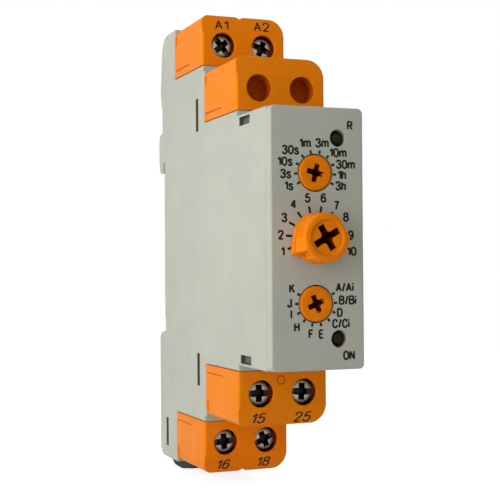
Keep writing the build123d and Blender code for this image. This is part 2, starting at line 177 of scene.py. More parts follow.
def moulded(name, colour, shade, worn, roughness, grain=2600, grainDepth=0.000012, shine=0.25, shaded=(),
             rounding=0.00022):
    material, tree, shader, place = newMaterial(name)
    shader.inputs["Specular IOR Level"].default_value = shine
    cloud = addRange(tree, addNoise(tree, place, 60, 3), 0.35, 0.65, 0, 1)
    base = mixColours(tree, cloud, colour, shade)
    specks = addRange(tree, addNoise(tree, place, 900, 2), 0.62, 0.78, 0, 0.35)
    base = mixColours(tree, specks, base, worn)
    softened, edge = roundedNormal(tree, rounding)
    patches = addRange(tree, addNoise(tree, place, 300, 3), 0.4, 0.65, 0.1, 0.6)
    rubbed = joinValues(tree, "MULTIPLY", edge, patches)
    base = mixColours(tree, rubbed, base, worn)
    for part in shaded:     # boxes with painted shade, such as the inside of slots
        masks = [boxMask(tree, place, *box) for box in part["boxes"]]
        inside = masks[0]
        for mask in masks[1:]:
            inside = joinValues(tree, "MAXIMUM", inside, mask)
        base = mixColours(tree, inside, base, part["colour"])
    tree.links.new(base, shader.inputs["Base Color"])
    rough = addRange(tree, addNoise(tree, place, 240, 4), 0.3, 0.7, roughness - 0.06, roughness + 0.06)
    tree.links.new(rough, shader.inputs["Roughness"])
    addBump(tree, shader, addNoise(tree, place, grain, 1), 0.5, grainDepth, softened)
    return material


def metal(name, colour, shade, roughness, scratch=1400, metallic=1.0):
    material, tree, shader, place = newMaterial(name)
    cloud = addRange(tree, addNoise(tree, place, 500, 3), 0.3, 0.7, 0, 1)
    tree.links.new(mixColours(tree, cloud, colour, shade), shader.inputs["Base Color"])
    shader.inputs["Metallic"].default_value = metallic
    lines = addNoise(tree, place, scratch, 2, 0.5, (1, 1, 0.12))
    rough = addRange(tree, lines, 0.3, 0.7, roughness - 0.08, roughness + 0.1)
    tree.links.new(rough, shader.inputs["Roughness"])
    addBump(tree, shader, lines, 0.35, 0.000008)
    return material


def ink(name, colour, thin):
    material, tree, shader, place = newMaterial(name)
    shader.inputs["Specular IOR Level"].default_value = 0.1
    patch = addRange(tree, addNoise(tree, place, 5200, 3), 0.35, 0.75, 0, 0.5)
    tree.links.new(mixColours(tree, patch, colour, thin), shader.inputs["Base Color"])
    tree.links.new(addRange(tree, patch, 0, 1, 0.42, 0.6), shader.inputs["Roughness"])
    addBump(tree, shader, patch, 0.3, 0.000006)
    return material


def lens(name, colour, deep):
    material, tree, shader, place = newMaterial(name)
    shader.inputs["Specular IOR Level"].default_value = 0.15
    cloud = addNoise(tree, place, 700, 2)
    tree.links.new(mixColours(tree, cloud, colour, deep), shader.inputs["Base Color"])
    tree.links.new(addRange(tree, cloud, 0.3, 0.7, 0.12, 0.22), shader.inputs["Roughness"])
    addBump(tree, shader, cloud, 0.1, 0.00001)
    return material


# places inside the mouldings with painted shade, as boxes in millimetres
windows = {"side": (5, 8.62), "depth": (-50.9, -45.6), "height": (20.4, 22.05)}
slots = {"side": (5, 8.66), "half": 0.9,
         "at": ((-22.2, 22.1, 28.8), (-22.2, -28.2, -21.6), (-1.3, -42.9, -36.7))}     # depth, bottom and top
hole = {"x": 4.25, "in": 4.2, "reach": 2.7, "end": 4, "blankFrom": 0.5, "screwFrom": 0.75}
# painted shade inside the side windows and vent slots of the housing
paintedShadeInside = {"colour": (0.12, 0.11, 0.08), "boxes": []}
# painted shade on the panel's snap arms, seen through the side windows
paintedShadeSnapArms = {"colour": (0.13, 0.12, 0.09), "boxes": [((-9, -57.5, -23), (9, -40, 23))]}


def bothSides(side, depth, height):
    inner, outer = side
    return [((left, depth[0], height[0]), (right, depth[1], height[1]))
            for left, right in ((-outer, -inner), (inner, outer))]


for up in (-1, 1):
    height = sorted(up * z for z in windows["height"])
    paintedShadeInside["boxes"] += bothSides(windows["side"], windows["depth"], height)
for y, bottom, top in slots["at"]:
    paintedShadeInside["boxes"] += bothSides(slots["side"], (y - slots["half"], y + slots["half"]), (bottom, top))
# painted shade deep in the terminal holes: near black round the screws, darker orange in the blank holes
screwHolePaintedShade, blankHolePaintedShade = [], []
for row in ("upper_front", "upper_rear", "lower_front", "lower_rear"):
    low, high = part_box("terminal_cap_" + row)
    front = low[1] / mm
    z = (low[2] / mm + hole["in"]) if low[2] > 0 else (high[2] / mm - hole["in"])
    blank = row == "upper_front"
    start = front + hole["blankFrom" if blank else "screwFrom"]
    end, reach = front + hole["end"], hole["reach"]
    for x in (-hole["x"], hole["x"]):
        box = ((x - reach, start, z - reach), (x + reach, end, z + reach))
        (blankHolePaintedShade if blank else screwHolePaintedShade).append(box)
capHolePaintedShade = [{"colour": (0.1, 0.016, 0.002), "boxes": screwHolePaintedShade},
            {"colour": (0.55, 0.11, 0.006), "boxes": blankHolePaintedShade}]
finishes = {
    "housing_grey": moulded("housingGrey", (0.5, 0.515, 0.435), (0.46, 0.475, 0.4), (0.56, 0.575, 0.49), 0.5,
                            shaded=[paintedShadeInside]),
    "panel_grey": moulded("panelGrey", (0.49, 0.5, 0.42), (0.46, 0.47, 0.395), (0.54, 0.55, 0.47), 0.48,
                          shaded=[paintedShadeSnapArms]),
    "cap_orange": moulded("capOrange", (0.92, 0.245, 0.004), (0.88, 0.225, 0.003), (0.95, 0.3, 0.01), 0.42,
                          grain=1800, shine=0.06, shaded=capHolePaintedShade),
    "nickel_steel": metal("nickelSteel", (0.6, 0.64, 0.54), (0.46, 0.48, 0.4), 0.42, metallic=0.4),
    "zinc_steel": metal("zincSteel", (0.6, 0.61, 0.62), (0.48, 0.49, 0.5), 0.35),
    "tinned_copper": metal("tinnedCopper", (0.66, 0.64, 0.6), (0.55, 0.5, 0.44), 0.3),
    "spring_steel": metal("springSteel", (0.5, 0.5, 0.5), (0.4, 0.4, 0.4), 0.3),
    "latch_black": moulded("latchBlack", (0.007, 0.007, 0.006), (0.01, 0.01, 0.009), (0.02, 0.02, 0.02), 0.5,
                           shine=0.08),
    "component_black": moulded("componentBlack", (0.02, 0.02, 0.022), (0.03, 0.03, 0.03), (0.08, 0.08, 0.08),
                               0.5),
    "circuit_board": moulded("circuitBoard", (0.02, 0.14, 0.05), (0.015, 0.11, 0.04), (0.05, 0.2, 0.08),
                             0.35),
    "relay_case": moulded("relayCase", (0.02, 0.06, 0.2), (0.02, 0.05, 0.16), (0.06, 0.1, 0.3), 0.4),
    "capacitor_sleeve": moulded("capacitorSleeve", (0.02, 0.03, 0.05), (0.02, 0.025, 0.04), (0.1, 0.1, 0.12),
                                0.25),
    "capacitor_box": moulded("capacitorBox", (0.55, 0.5, 0.36), (0.5, 0.46, 0.33), (0.6, 0.55, 0.4), 0.45),
    "surge_coating": moulded("surgeCoating", (0.05, 0.15, 0.5), (0.04, 0.12, 0.42), (0.1, 0.2, 0.6), 0.35),
    "lens_green": lens("lensGreen", (0.006, 0.014, 0.007), (0.004, 0.009, 0.005)),
    "lens_red": lens("lensRed", (0.02, 0.004, 0.003), (0.012, 0.003, 0.002)),
}
markRed = ink("markRed", (0.6, 0.05, 0.002), (0.75, 0.08, 0.004))
inkDark = ink("inkDark", (0.012, 0.011, 0.008), (0.03, 0.027, 0.02))
inkCap = ink("inkCap", (0.045, 0.028, 0.014), (0.1, 0.05, 0.02))
# painted shade for the deep faces of the knob and dial driver recesses
paintedShadeRecess = moulded("paintedShadeRecess", (0.16, 0.012, 0.001), (0.12, 0.01, 0.001), (0.2, 0.018, 0.002), 0.6,
                      shine=0.02)
# painted shade for the screws' cross recess and slot
paintedShadeCross = metal("paintedShadeCross", (0.035, 0.025, 0.02), (0.02, 0.015, 0.012), 0.55)
paintedShadeSlot = metal("paintedShadeSlot", (0.075, 0.055, 0.045), (0.05, 0.038, 0.03), 0.5)

for part in frame["record"]["subparts"]:
    node = nodes[part["node"]]
    node.data.materials.clear()
    node.data.materials.append(finishes[part["material_slot"]])
print("finishes set")


# camera, lamps and floor
camera = {"x": -81.35, "y": -236.26, "z": -5.19, "yaw": 21.36, "pitch": 0.97, "roll": -0.40, "lens": 82.05}


def addCamera(spec):
    yaw, pitch, roll = (math.radians(spec[k]) for k in ("yaw", "pitch", "roll"))
    ahead = Vector((math.sin(yaw) * math.cos(pitch), math.cos(yaw) * math.cos(pitch), math.sin(pitch)))
    level = Vector((math.cos(yaw), -math.sin(yaw), 0))
    upright = level.cross(ahead)
    right = level * math.cos(roll) + upright * math.sin(roll)
    up = upright * math.cos(roll) - level * math.sin(roll)
    data = bpy.data.cameras.new("camera")
    data.lens = spec["lens"]
    data.sensor_width = 36
    data.clip_start = 0.01
    made = bpy.data.objects.new("camera", data)
    turn = Matrix((right, up, -ahead)).transposed().to_4x4()
    made.matrix_world = Matrix.Translation(Vector((spec["x"], spec["y"], spec["z"])) * mm) @ turn
    bpy.context.scene.collection.objects.link(made)
    bpy.context.scene.camera = made


addCamera(camera)
lamps = {
    "sideLamp": {"place": (-0.27, -0.115, 0.05), "aim": (0, -0.04, 0), "size": 0.22, "watts": 0.68},
    "topLamp": {"place": (-0.06, -0.2, 0.2), "aim": (0, -0.03, 0.01), "size": 0.2, "watts": 0.12},
    "lowLamp": {"place": (-0.1, -0.4, -0.12), "aim": (0, -0.04, -0.01), "size": 0.3, "watts": 0.06},
    "backLamp": {"place": (0.25, 0.2, 0.12), "aim": (0, -0.03, 0), "size": 0.3, "watts": 1.0},
}
for lampName, spec in lamps.items():
    lampData = bpy.data.lights.new(lampName, "AREA")
    lampData.size = spec["size"]
    lampData.energy = spec["watts"]
    lamp = bpy.data.objects.new(lampName, lampData)
    lamp.location = spec["place"]
    lamp.rotation_euler = (Vector(spec["aim"]) - Vector(spec["place"])).to_track_quat("-Z", "Y").to_euler()
    bpy.context.scene.collection.objects.link(lamp)


def whiteToCamera(tree, light, white, rays):
    # the second shader where the given rays see it, the first for all other light
    path = tree.nodes.new("ShaderNodeLightPath")
    seen = path.outputs[rays[0]]
    for ray in rays[1:]:
        seen = joinValues(tree, "MAXIMUM", seen, path.outputs[ray])
    mix = tree.nodes.new("ShaderNodeMixShader")
    tree.links.new(seen, mix.inputs["Fac"])
    tree.links.new(light, mix.inputs[1])
    tree.links.new(white, mix.inputs[2])
    return mix.outputs["Shader"]


shownRays = ("Is Camera Ray", "Is Glossy Ray", "Is Transmission Ray")


def addWorld(strength):
    world = bpy.data.worlds.new("studio")
    world.use_nodes = True
    tree = world.node_tree
    light = tree.nodes["Background"]
    light.inputs["Color"].default_value = (1, 1, 1, 1)
    light.inputs["Strength"].default_value = strength
    white = tree.nodes.new("ShaderNodeBackground")
    white.inputs["Color"].default_value = (1, 1, 1, 1)
    shown = whiteToCamera(tree, light.outputs[0], white.outputs[0], shownRays)
    tree.links.new(shown, tree.nodes["World Output"].inputs["Surface"])
    bpy.context.scene.world = world


def addFloor(drop, spec):
    reach = spec["reach"]
    mesh = bpy.data.meshes.new("floor")
    corners = [(-reach, -reach, drop), (reach, -reach, drop), (reach, reach, drop), (-reach, reach, drop)]
    mesh.from_pydata(corners, [], [(0, 1, 2, 3)])
    floor = bpy.data.objects.new("floor", mesh)
    bpy.context.scene.collection.objects.link(floor)
    material, tree, paper, place = newMaterial("floorPaper")
    paper.inputs["Base Color"].default_value = (0.8, 0.8, 0.8, 1)
    paper.inputs["Roughness"].default_value = 0.9
    paper.inputs["Specular IOR Level"].default_value = 0
    addBump(tree, paper, addNoise(tree, place, 400, 2), 0.1, 0.0001)
    soft = tree.nodes.new("ShaderNodeBsdfDiffuse")     # what of the paper's own shade the camera sees
    soft.inputs["Color"].default_value = (*[spec["shade"]] * 3, 1)
    glow = tree.nodes.new("ShaderNodeEmission")
    glow.inputs["Strength"].default_value = spec["glow"]
    near = tree.nodes.new("ShaderNodeAddShader")
    tree.links.new(soft.outputs[0], near.inputs[0])
    tree.links.new(glow.outputs[0], near.inputs[1])
    white = tree.nodes.new("ShaderNodeEmission")
    away = tree.nodes.new("ShaderNodeVectorMath")
    away.operation = "LENGTH"
    tree.links.new(place, away.inputs[0])
    fade = tree.nodes.new("ShaderNodeMixShader")
    distance = addRange(tree, away.outputs["Value"], spec["fade"][0], spec["fade"][1], 0, 1)
    tree.links.new(distance, fade.inputs["Fac"])
    tree.links.new(near.outputs[0], fade.inputs[1])
    tree.links.new(white.outputs[0], fade.inputs[2])
    shown = whiteToCamera(tree, paper.outputs[0], fade.outputs[0], shownRays)
    tree.links.new(shown, tree.nodes["Material Output"].inputs["Surface"])
    mesh.materials.append(material)


addWorld(0.2)
addFloor(cadBounds[0][2], {"reach": 3.0, "shade": 0.35, "glow": 0.86, "fade": (0.1, 0.3)})
bpy.context.scene.view_settings.view_transform = "Standard"
print("camera, lamps and floor made")


# mesh helpers
def finishedMesh(holder):
    mesh = bpy.data.meshes.new_from_object(holder.evaluated_get(bpy.context.evaluated_depsgraph_get()))
    bpy.data.objects.remove(holder)
    return mesh


def closedMesh(name, shape):
    bmesh.ops.recalc_face_normals(shape, faces=shape.faces)
    mesh = bpy.data.meshes.new(name)
    shape.to_mesh(mesh)
    shape.free()
    return mesh


def toPlace(mesh, x, y, z):
    # a mesh drawn in millimetres becomes metres, at its place
    mesh.transform(Matrix.Translation((x, y, z)) @ Matrix.Diagonal((mm, mm, mm, 1)))


def keepMesh(name, mesh, body, material=None):
    piece = bpy.data.objects.new(name, mesh)
    if material:
        mesh.materials.clear()
        mesh.materials.append(material)
    bpy.context.scene.collection.objects.link(piece)
    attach(piece, body)
    return piece


# letters drawn as pen strokes on a capital height of 1: "line" strokes are straight, "bow" ones curved
zeroLoop = ("loop", (0.27, 1), (0.03, 0.8), (0, 0.5), (0.03, 0.2), (0.27, 0), (0.51, 0.2), (0.54, 0.5),
            (0.51, 0.8))
sixBow = ("bow", (0.5, 0.78), (0.42, 0.96), (0.27, 1), (0.07, 0.84), (0, 0.45), (0.06, 0.1), (0.28, 0),
          (0.48, 0.08), (0.54, 0.31), (0.46, 0.53), (0.27, 0.6), (0.04, 0.42))
letters = {
    "0": [zeroLoop],
    "1": [("line", (0, 0.74), (0.16, 0.82), (0.3, 1), (0.3, 0))],
    "2": [("bow", (0, 0.7), (0.06, 0.93), (0.27, 1), (0.5, 0.9), (0.52, 0.68), (0.36, 0.42), (0, 0)),
          ("line", (0, 0), (0.54, 0))],
    "3": [("bow", (0.02, 0.76), (0.1, 0.95), (0.27, 1), (0.47, 0.92), (0.5, 0.73), (0.4, 0.57), (0.2, 0.54)),
          ("bow", (0.2, 0.54), (0.44, 0.49), (0.54, 0.28), (0.47, 0.08), (0.27, 0), (0.08, 0.06), (0, 0.25))],
    "4": [("line", (0.42, 0), (0.42, 1), (0, 0.3), (0.58, 0.3))],
    "5": [("line", (0.5, 1), (0.1, 1), (0.05, 0.5)),
          ("bow", (0.05, 0.5), (0.28, 0.62), (0.49, 0.53), (0.54, 0.3), (0.46, 0.08), (0.25, 0), (0.07, 0.06),
           (0, 0.24))],
    "6": [sixBow],
    "7": [("line", (0, 1), (0.54, 1)), ("bow", (0.54, 1), (0.3, 0.55), (0.18, 0))],
    "8": [("loop", (0.27, 1), (0.06, 0.9), (0.06, 0.66), (0.27, 0.55), (0.48, 0.66), (0.48, 0.9)),
          ("loop", (0.27, 0.55), (0.03, 0.42), (0.03, 0.12), (0.27, 0), (0.51, 0.12), (0.51, 0.42))],
    "9": [(sixBow[0], *[(0.54 - x, 1 - y) for x, y in sixBow[1:]])],
    "s": [("bow", (0.4, 0.55), (0.34, 0.69), (0.2, 0.73), (0.05, 0.67), (0.04, 0.5), (0.2, 0.39),
           (0.39, 0.28), (0.4, 0.08), (0.21, 0), (0.05, 0.04), (0, 0.19))],
    "m": [("line", (0, 0), (0, 0.73)),
          ("bow", (0, 0.52), (0.1, 0.68), (0.24, 0.73), (0.37, 0.66), (0.39, 0.5)),
          ("line", (0.39, 0.5), (0.39, 0)),
          ("bow", (0.39, 0.52), (0.49, 0.68), (0.63, 0.73), (0.76, 0.66), (0.78, 0.5)),
          ("line", (0.78, 0.5), (0.78, 0))],
    "h": [("line", (0, 0), (0, 1)), ("bow", (0, 0.48), (0.1, 0.67), (0.23, 0.72), (0.38, 0.62), (0.4, 0.42)),
          ("line", (0.4, 0.45), (0.4, 0))],
    "i": [("line", (0, 0), (0, 0.7)), ("line", (0, 0.84), (0, 1.04))],
    "A": [("line", (0, 0), (0.29, 1), (0.58, 0)), ("line", (0.1, 0.33), (0.48, 0.33))],
    "B": [("line", (0.27, 0), (0, 0), (0, 1), (0.25, 1)), ("line", (0, 0.54), (0.27, 0.54)),
          ("bow", (0.25, 1), (0.47, 0.94), (0.5, 0.75), (0.43, 0.58), (0.25, 0.54)),
          ("bow", (0.27, 0.54), (0.5, 0.47), (0.55, 0.27), (0.48, 0.06), (0.27, 0))],
    "C": [("bow", (0.54, 0.68), (0.46, 0.93), (0.28, 1), (0.07, 0.86), (0, 0.5), (0.07, 0.14), (0.28, 0),
           (0.46, 0.07), (0.54, 0.32))],
    "D": [("line", (0.22, 0), (0, 0), (0, 1), (0.22, 1)),
          ("bow", (0.22, 1), (0.46, 0.88), (0.54, 0.5), (0.46, 0.12), (0.22, 0))],
    "E": [("line", (0.46, 1), (0, 1), (0, 0), (0.46, 0)), ("line", (0, 0.53), (0.41, 0.53))],
    "F": [("line", (0.45, 1), (0, 1), (0, 0)), ("line", (0, 0.51), (0.4, 0.51))],
    "H": [("line", (0, 0), (0, 1)), ("line", (0.52, 0), (0.52, 1)), ("line", (0, 0.53), (0.52, 0.53))],
    "I": [("line", (0, 0), (0, 1))],
    "J": [("line", (0.4, 1), (0.4, 0.3)),
          ("bow", (0.4, 0.32), (0.36, 0.07), (0.2, 0), (0.04, 0.07), (0, 0.3))],
    "K": [("line", (0, 0), (0, 1)), ("line", (0.52, 1), (0, 0.4)), ("line", (0.18, 0.6), (0.55, 0))],
    "N": [("line", (0, 0), (0, 1), (0.52, 0), (0.52, 1))],
    "O": [("loop", (0.29, 1), (0.05, 0.84), (0, 0.5), (0.05, 0.16), (0.29, 0), (0.53, 0.16), (0.58, 0.5),
           (0.53, 0.84))],
    "R": [("line", (0, 0), (0, 1), (0.27, 1)), ("line", (0, 0.5), (0.27, 0.5)),
          ("line", (0.3, 0.5), (0.54, 0)),
          ("bow", (0.27, 1), (0.48, 0.93), (0.52, 0.75), (0.46, 0.56), (0.27, 0.5))],
    "/": [("line", (0, -0.02), (0.26, 1.02))],
    "o": [("loop", *[(0.5 + 0.5 * math.sin(k * math.pi / 4), 0.5 + 0.5 * math.cos(k * math.pi / 4))
                     for k in range(8)]),
          ("line", (0.5, 0.46), (0.5, 0.54))],
    ".": [("line", (0, 0.3), (0, 0.7))],
}


def addStroke(curve, stroke, shift, slant):
    kind, points = stroke[0], stroke[1:]
    spots = [(x + shift + slant * y, y, 0) for x, y in points]
    if kind == "line":
        for first, last in zip(spots, spots[1:]):
            spline = curve.splines.new("POLY")
            spline.points.add(1)
            spline.points[0].co = (*first, 1)
            spline.points[1].co = (*last, 1)
        return
    spline = curve.splines.new("BEZIER")
    spline.bezier_points.add(len(spots) - 1)
    spline.use_cyclic_u = kind == "loop"
    spline.resolution_u = 4
    for point, spot in zip(spline.bezier_points, spots):
        point.co = spot
        point.handle_left_type = point.handle_right_type = "AUTO"


def textMesh(words, spec):
    curve = bpy.data.curves.new(words, "CURVE")
    curve.dimensions = "3D"
    curve.bevel_depth = spec["pen"] / 2
    curve.bevel_resolution = 1
    curve.use_fill_caps = True
    shift = 0
    for letter in words:
        strokes = letters[letter]
        for stroke in strokes:
            addStroke(curve, stroke, shift, spec.get("slant", 0))
        shift += max(x for stroke in strokes for x, y in stroke[1:]) + spec["pen"] + spec["gap"]
    holder = bpy.data.objects.new(words, curve)
    bpy.context.scene.collection.objects.link(holder)
    mesh = finishedMesh(holder)
    middle = (min(v.co.x for v in mesh.vertices) + max(v.co.x for v in mesh.vertices)) / 2
    size = spec["height"] / (1 + spec["pen"]) * mm
    flat = 2 * spec["proud"] * mm / spec["pen"]
    scale = Matrix.Diagonal((size * spec["narrow"], size, flat, 1))
    mesh.transform(scale @ Matrix.Translation((-middle, -0.5, 0)))
    return mesh


def onFront(mesh, x, y, z, lean=0.0):
    turn = Matrix.Rotation(math.radians(90 + lean), 4, "X")
    mesh.transform(Matrix.Translation((x, y, z)) @ turn)
    return mesh


def joinMeshes(name, meshes):
    joined = bmesh.new()
    for mesh in meshes:
        joined.from_mesh(mesh)
        bpy.data.meshes.remove(mesh)
    result = bpy.data.meshes.new(name)
    joined.to_mesh(result)
    joined.free()
    return result


# shapes cut and turned for the controls and screws
def lathe(name, rows, sides, ripple=None):
    # closed body turned about Y from (depth, radius) rows; a ripple changes the radius along the turn
    shape = bmesh.new()
    rings = []
    for depth, radius in rows:
        ring = []
        for step in range(sides):
            angle = 2 * math.pi * step / sides
            reach = ripple(depth, radius, step / sides) if ripple else radius
            ring.append(shape.verts.new((reach * math.sin(angle), depth, reach * math.cos(angle))))
        rings.append(ring)
    for first, last in zip(rings, rings[1:]):
        for step in range(sides):
            after = (step + 1) % sides
            shape.faces.new((first[step], first[after], last[after], last[step]))
    shape.faces.new(rings[0][::-1])
    shape.faces.new(rings[-1])
    return closedMesh(name, shape)


def frustum(name, face, floor, front, back):
    # cutter along Y, from the corners of its front outline and of its back outline
    shape = bmesh.new()
    near = [shape.verts.new((x, front, z)) for x, z in face]
    far = [shape.verts.new((x, back, z)) for x, z in floor]
    count = len(near)
    for step in range(count):
        after = (step + 1) % count
        shape.faces.new((near[step], near[after], far[after], far[step]))
    shape.faces.new(near[::-1])
    shape.faces.new(far)
    return closedMesh(name, shape)


def bar(halfLong, halfWide, turn):
    corners = [(-halfLong, -halfWide), (halfLong, -halfWide), (halfLong, halfWide), (-halfLong, halfWide)]
    c, s = math.cos(math.radians(turn)), math.sin(math.radians(turn))
    return [(x * c + z * s, z * c - x * s) for x, z in corners]


def circle(radius, sides=24):
    return [(radius * math.sin(2 * math.pi * k / sides), radius * math.cos(2 * math.pi * k / sides))
            for k in range(sides)]


def cutAway(mesh, cutters):
    body = bpy.data.objects.new("body", mesh)
    bpy.context.scene.collection.objects.link(body)
    helpers = []
    for cutter in cutters:
        helper = bpy.data.objects.new("cutter", cutter)
        bpy.context.scene.collection.objects.link(helper)
        modifier = body.modifiers.new("cut", "BOOLEAN")
        modifier.operation = "DIFFERENCE"
        modifier.object = helper
        modifier.solver = "EXACT"
        helpers.append(helper)
    result = finishedMesh(body)
    for helper in helpers:
        bpy.data.objects.remove(helper)
    return result


def roundEdges(mesh, width, angle=35, segments=2):
    tidy = bmesh.new()
    tidy.from_mesh(mesh)
    bmesh.ops.remove_doubles(tidy, verts=tidy.verts, dist=0.002 * mm)
    bmesh.ops.dissolve_limit(tidy, angle_limit=math.radians(1.5), verts=tidy.verts, edges=tidy.edges)
    tidy.to_mesh(mesh)
    tidy.free()
    body = bpy.data.objects.new("body", mesh)
    bpy.context.scene.collection.objects.link(body)
    modifier = body.modifiers.new("edges", "BEVEL")
    modifier.width = width
    modifier.segments = segments
    modifier.limit_method = "ANGLE"
    modifier.angle_limit = math.radians(angle)
    return finishedMesh(body)


def smoothShade(mesh, angle=35):
    shape = bmesh.new()
    shape.from_mesh(mesh)
    for face in shape.faces:
        face.smooth = True
    for edge in shape.edges:
        edge.smooth = len(edge.link_faces) == 2 and edge.calc_face_angle(0) < math.radians(angle)
    shape.to_mesh(mesh)
    shape.free()
    return mesh


def paintFaces(mesh, materials, choose):
    # the material of each face, by its middle
    mesh.materials.clear()
    for material in materials:
        mesh.materials.append(material)
    for face in mesh.polygons:
        face.material_index = choose(face.center)


# terminal screws, with a cross and a slot cut together
screw = {"head": 2.25, "thick": 1.85, "shank": 1.45, "pitch": 0.5, "ridge": 0.14, "perPitch": 6, "sides": 40,
         "face": ((0.0, 0.6), (0.03, 1.3), (0.1, 1.75), (0.24, 2.02), (0.45, 2.18)),     # depth and radius
         "cross": 1.6, "crossWide": 0.6, "deep": 1.4, "middle": 1.75, "slotWide": 0.5, "slotDeep": 0.6}
turns = {"A1": 50, "A2": 22, "15": 0, "25": 3, "16": -4, "18": -25}     # clockwise


def screwMesh(turn, length):
    s = screw
    rows = [*s["face"], (0.72, s["head"]), (s["thick"] - 0.25, s["head"]),
            (s["thick"] - 0.05, s["head"] - 0.15), (s["thick"], s["shank"])]
    steps = int((length - s["thick"]) / (s["pitch"] / s["perPitch"]))
    for k in range(1, steps):
        rows.append((s["thick"] + k * s["pitch"] / s["perPitch"], s["shank"]))
    rows += [(length - 0.1, s["shank"] - 0.15), (length, s["shank"] - 0.35)]     # chamfered end

    def thread(depth, radius, turned):
        if not s["thick"] + 0.1 < depth < length - 0.2:
            return radius
        wave = (depth / s["pitch"] - turned) % 1
        return radius - s["ridge"] * abs(2 * wave - 1)

    blank = lathe("screw", rows, s["sides"], thread)
    cutters = []
    for quarter in (0, 90):     # the arms taper as they go in
        near = bar(s["cross"] + 0.12, s["crossWide"] + 0.05, turn + quarter)
        far = bar(s["cross"] * 0.55, s["crossWide"] * 0.6, turn + quarter)
        cutters.append(frustum("arm", near, far, -0.2, s["deep"]))
    mouth, end = circle(s["crossWide"] * s["middle"]), circle(s["crossWide"] * 0.8)
    cutters.append(frustum("middle", mouth, end, -0.2, s["deep"] + 0.1))
    slot = bar(3, s["slotWide"], turn)     # longer than the head is wide
    cutters.append(frustum("slot", slot, slot, -0.3, s["slotDeep"]))
    return smoothShade(cutAway(blank, cutters), 30)


def screwPaintedShade(turn):
    # painted shade: dark inside the cross, half dark in the slot, bright outside
    along = Vector((math.cos(math.radians(turn)), 0, -math.sin(math.radians(turn))))
    across = Vector((-along.z, 0, along.x))
    s = screw

    def choose(spot):
        a, b = abs(spot.dot(along)), abs(spot.dot(across))
        reach = s["cross"] + 0.02
        inCross = (a < reach and b < s["crossWide"] + 0.06) or (b < reach + 0.1 and a < s["crossWide"] + 0.06)
        inCross = inCross or math.hypot(a, b) < s["crossWide"] * s["middle"]
        if inCross and 0.2 < spot.y < s["deep"] + 0.2:
            return 1
        if b < s["slotWide"] + 0.01 and a < s["head"] and 0.25 < spot.y < s["slotDeep"] + 0.05:
            return 2
        return 0

    return choose


def addScrews():
    for name, turn in turns.items():
        node = "terminal_screw_" + name
        low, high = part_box(node)
        mesh = screwMesh(turn, (high[1] - low[1]) / mm)
        paintFaces(mesh, (finishes["nickel_steel"], paintedShadeCross, paintedShadeSlot), screwPaintedShade(turn))
        toPlace(mesh, (low[0] + high[0]) / 2, low[1], (low[2] + high[2]) / 2)
        piece = keepMesh("screw_" + name, mesh, "screw_" + name)
        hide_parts(node)


addScrews()
print("screws made")

# the knob, a shape of its own, and the dials, copies of the frame's, all with tapered driver recesses
driver = {"above": -0.5, "narrow": 0.7, "coreNarrow": 0.6, "coreDeeper": 0.1, "paintFrom": 0.1,
          "paintPast": 0.2}
controls = {
    "time_knob": {"arms": ((2.55, -30), (2.4, 60)), "half": 0.62, "core": 1.15, "deep": 3.9, "end": 0.8,
                  "body": "time_knob", "recess": 0.3, "grip": 4.2, "flat": 3.75, "face": 3.0, "base": 3.65,
                  "back": 4.65, "spindle": 1.5, "inside": 3.5, "pointer": -120, "tip": 5.3,
                  "flank": 0.72, "notch": 0.42, "ribs": {"from": 270, "to": 330, "step": 5, "depth": 0.13}},
    "range_dial": {"arms": ((1.55, 13.3), (1.45, 103.3)), "half": 0.47, "core": 0.85, "deep": 2.4, "end": 0.8,
                   "edge": 0.05, "body": "range_dial", "recess": 0},
    "function_dial": {"arms": ((1.55, -113.3), (1.45, -23.3)), "half": 0.47, "core": 0.85, "deep": 2.4,
                      "end": 0.8, "edge": 0.05, "body": "function_dial", "recess": 0},
}


def knobMesh(spec):
    # round grip with a flat, a pointer sloping out to its tip, and a ribbed flank
    grip, flat, face, base = spec["grip"], spec["flat"], spec["face"], spec["base"]

    def outline(depth, radius, turned):
        if radius < spec["inside"]:
            return radius
        angle = turned * 2 * math.pi
        side = math.remainder(angle - math.radians(spec["pointer"]), 2 * math.pi)
        fromPointer = abs(side)
        down = min(max(depth / base, 0), 1)
        onBase = depth >= base
        tip = grip + (spec["tip"] - grip) * (1 if onBase else 0.85 * down ** 0.8)
        bend = math.acos(grip / tip)
        if side > 0 and fromPointer < bend:
            return radius / math.cos(bend - fromPointer)
        if side <= 0 and fromPointer < 0.6:
            wedge = tip * math.sin(spec["flank"]) / math.sin(spec["flank"] + fromPointer)
            if wedge > grip:
                return radius * wedge / grip
            if not onBase and depth > 0.5 and fromPointer < spec["notch"]:
                return radius - 0.3
        fromFlat = math.pi - fromPointer
        if not onBase and fromFlat < math.acos(flat / grip):
            return radius * flat / grip / math.cos(fromFlat)
        ribs = spec["ribs"]
        if not onBase and depth > 0.5 and ribs["from"] < math.degrees(angle) < ribs["to"]:
            return radius - ribs["depth"] * (math.degrees(angle) / ribs["step"] % 1 > 0.5)
        return radius

    rows = [(spec["recess"], 2.2), (spec["recess"], face - 0.05), (0.08, face), (0, face + 0.08)]     # face
    rows += [(0, grip - 0.45), (0.06, grip - 0.25), (0.2, grip - 0.1), (0.42, grip - 0.02)]     # rounded rim
    rows += [(depth, grip) for depth in (0.55, 1, 1.6, 2.2, 2.8, base - 0.12)]
    rows += [(base - 0.1, grip - 0.12), (base - 0.02, grip - 0.12)]     # groove in front of the base
    rows += [(base, grip + 0.05), (base + 0.1, grip + 0.13), (spec["back"], grip + 0.13)]
    rows += [(spec["back"] + 0.01, spec["spindle"]), (spec["length"], spec["spindle"])]
    return lathe("knob", rows, 360, outline)


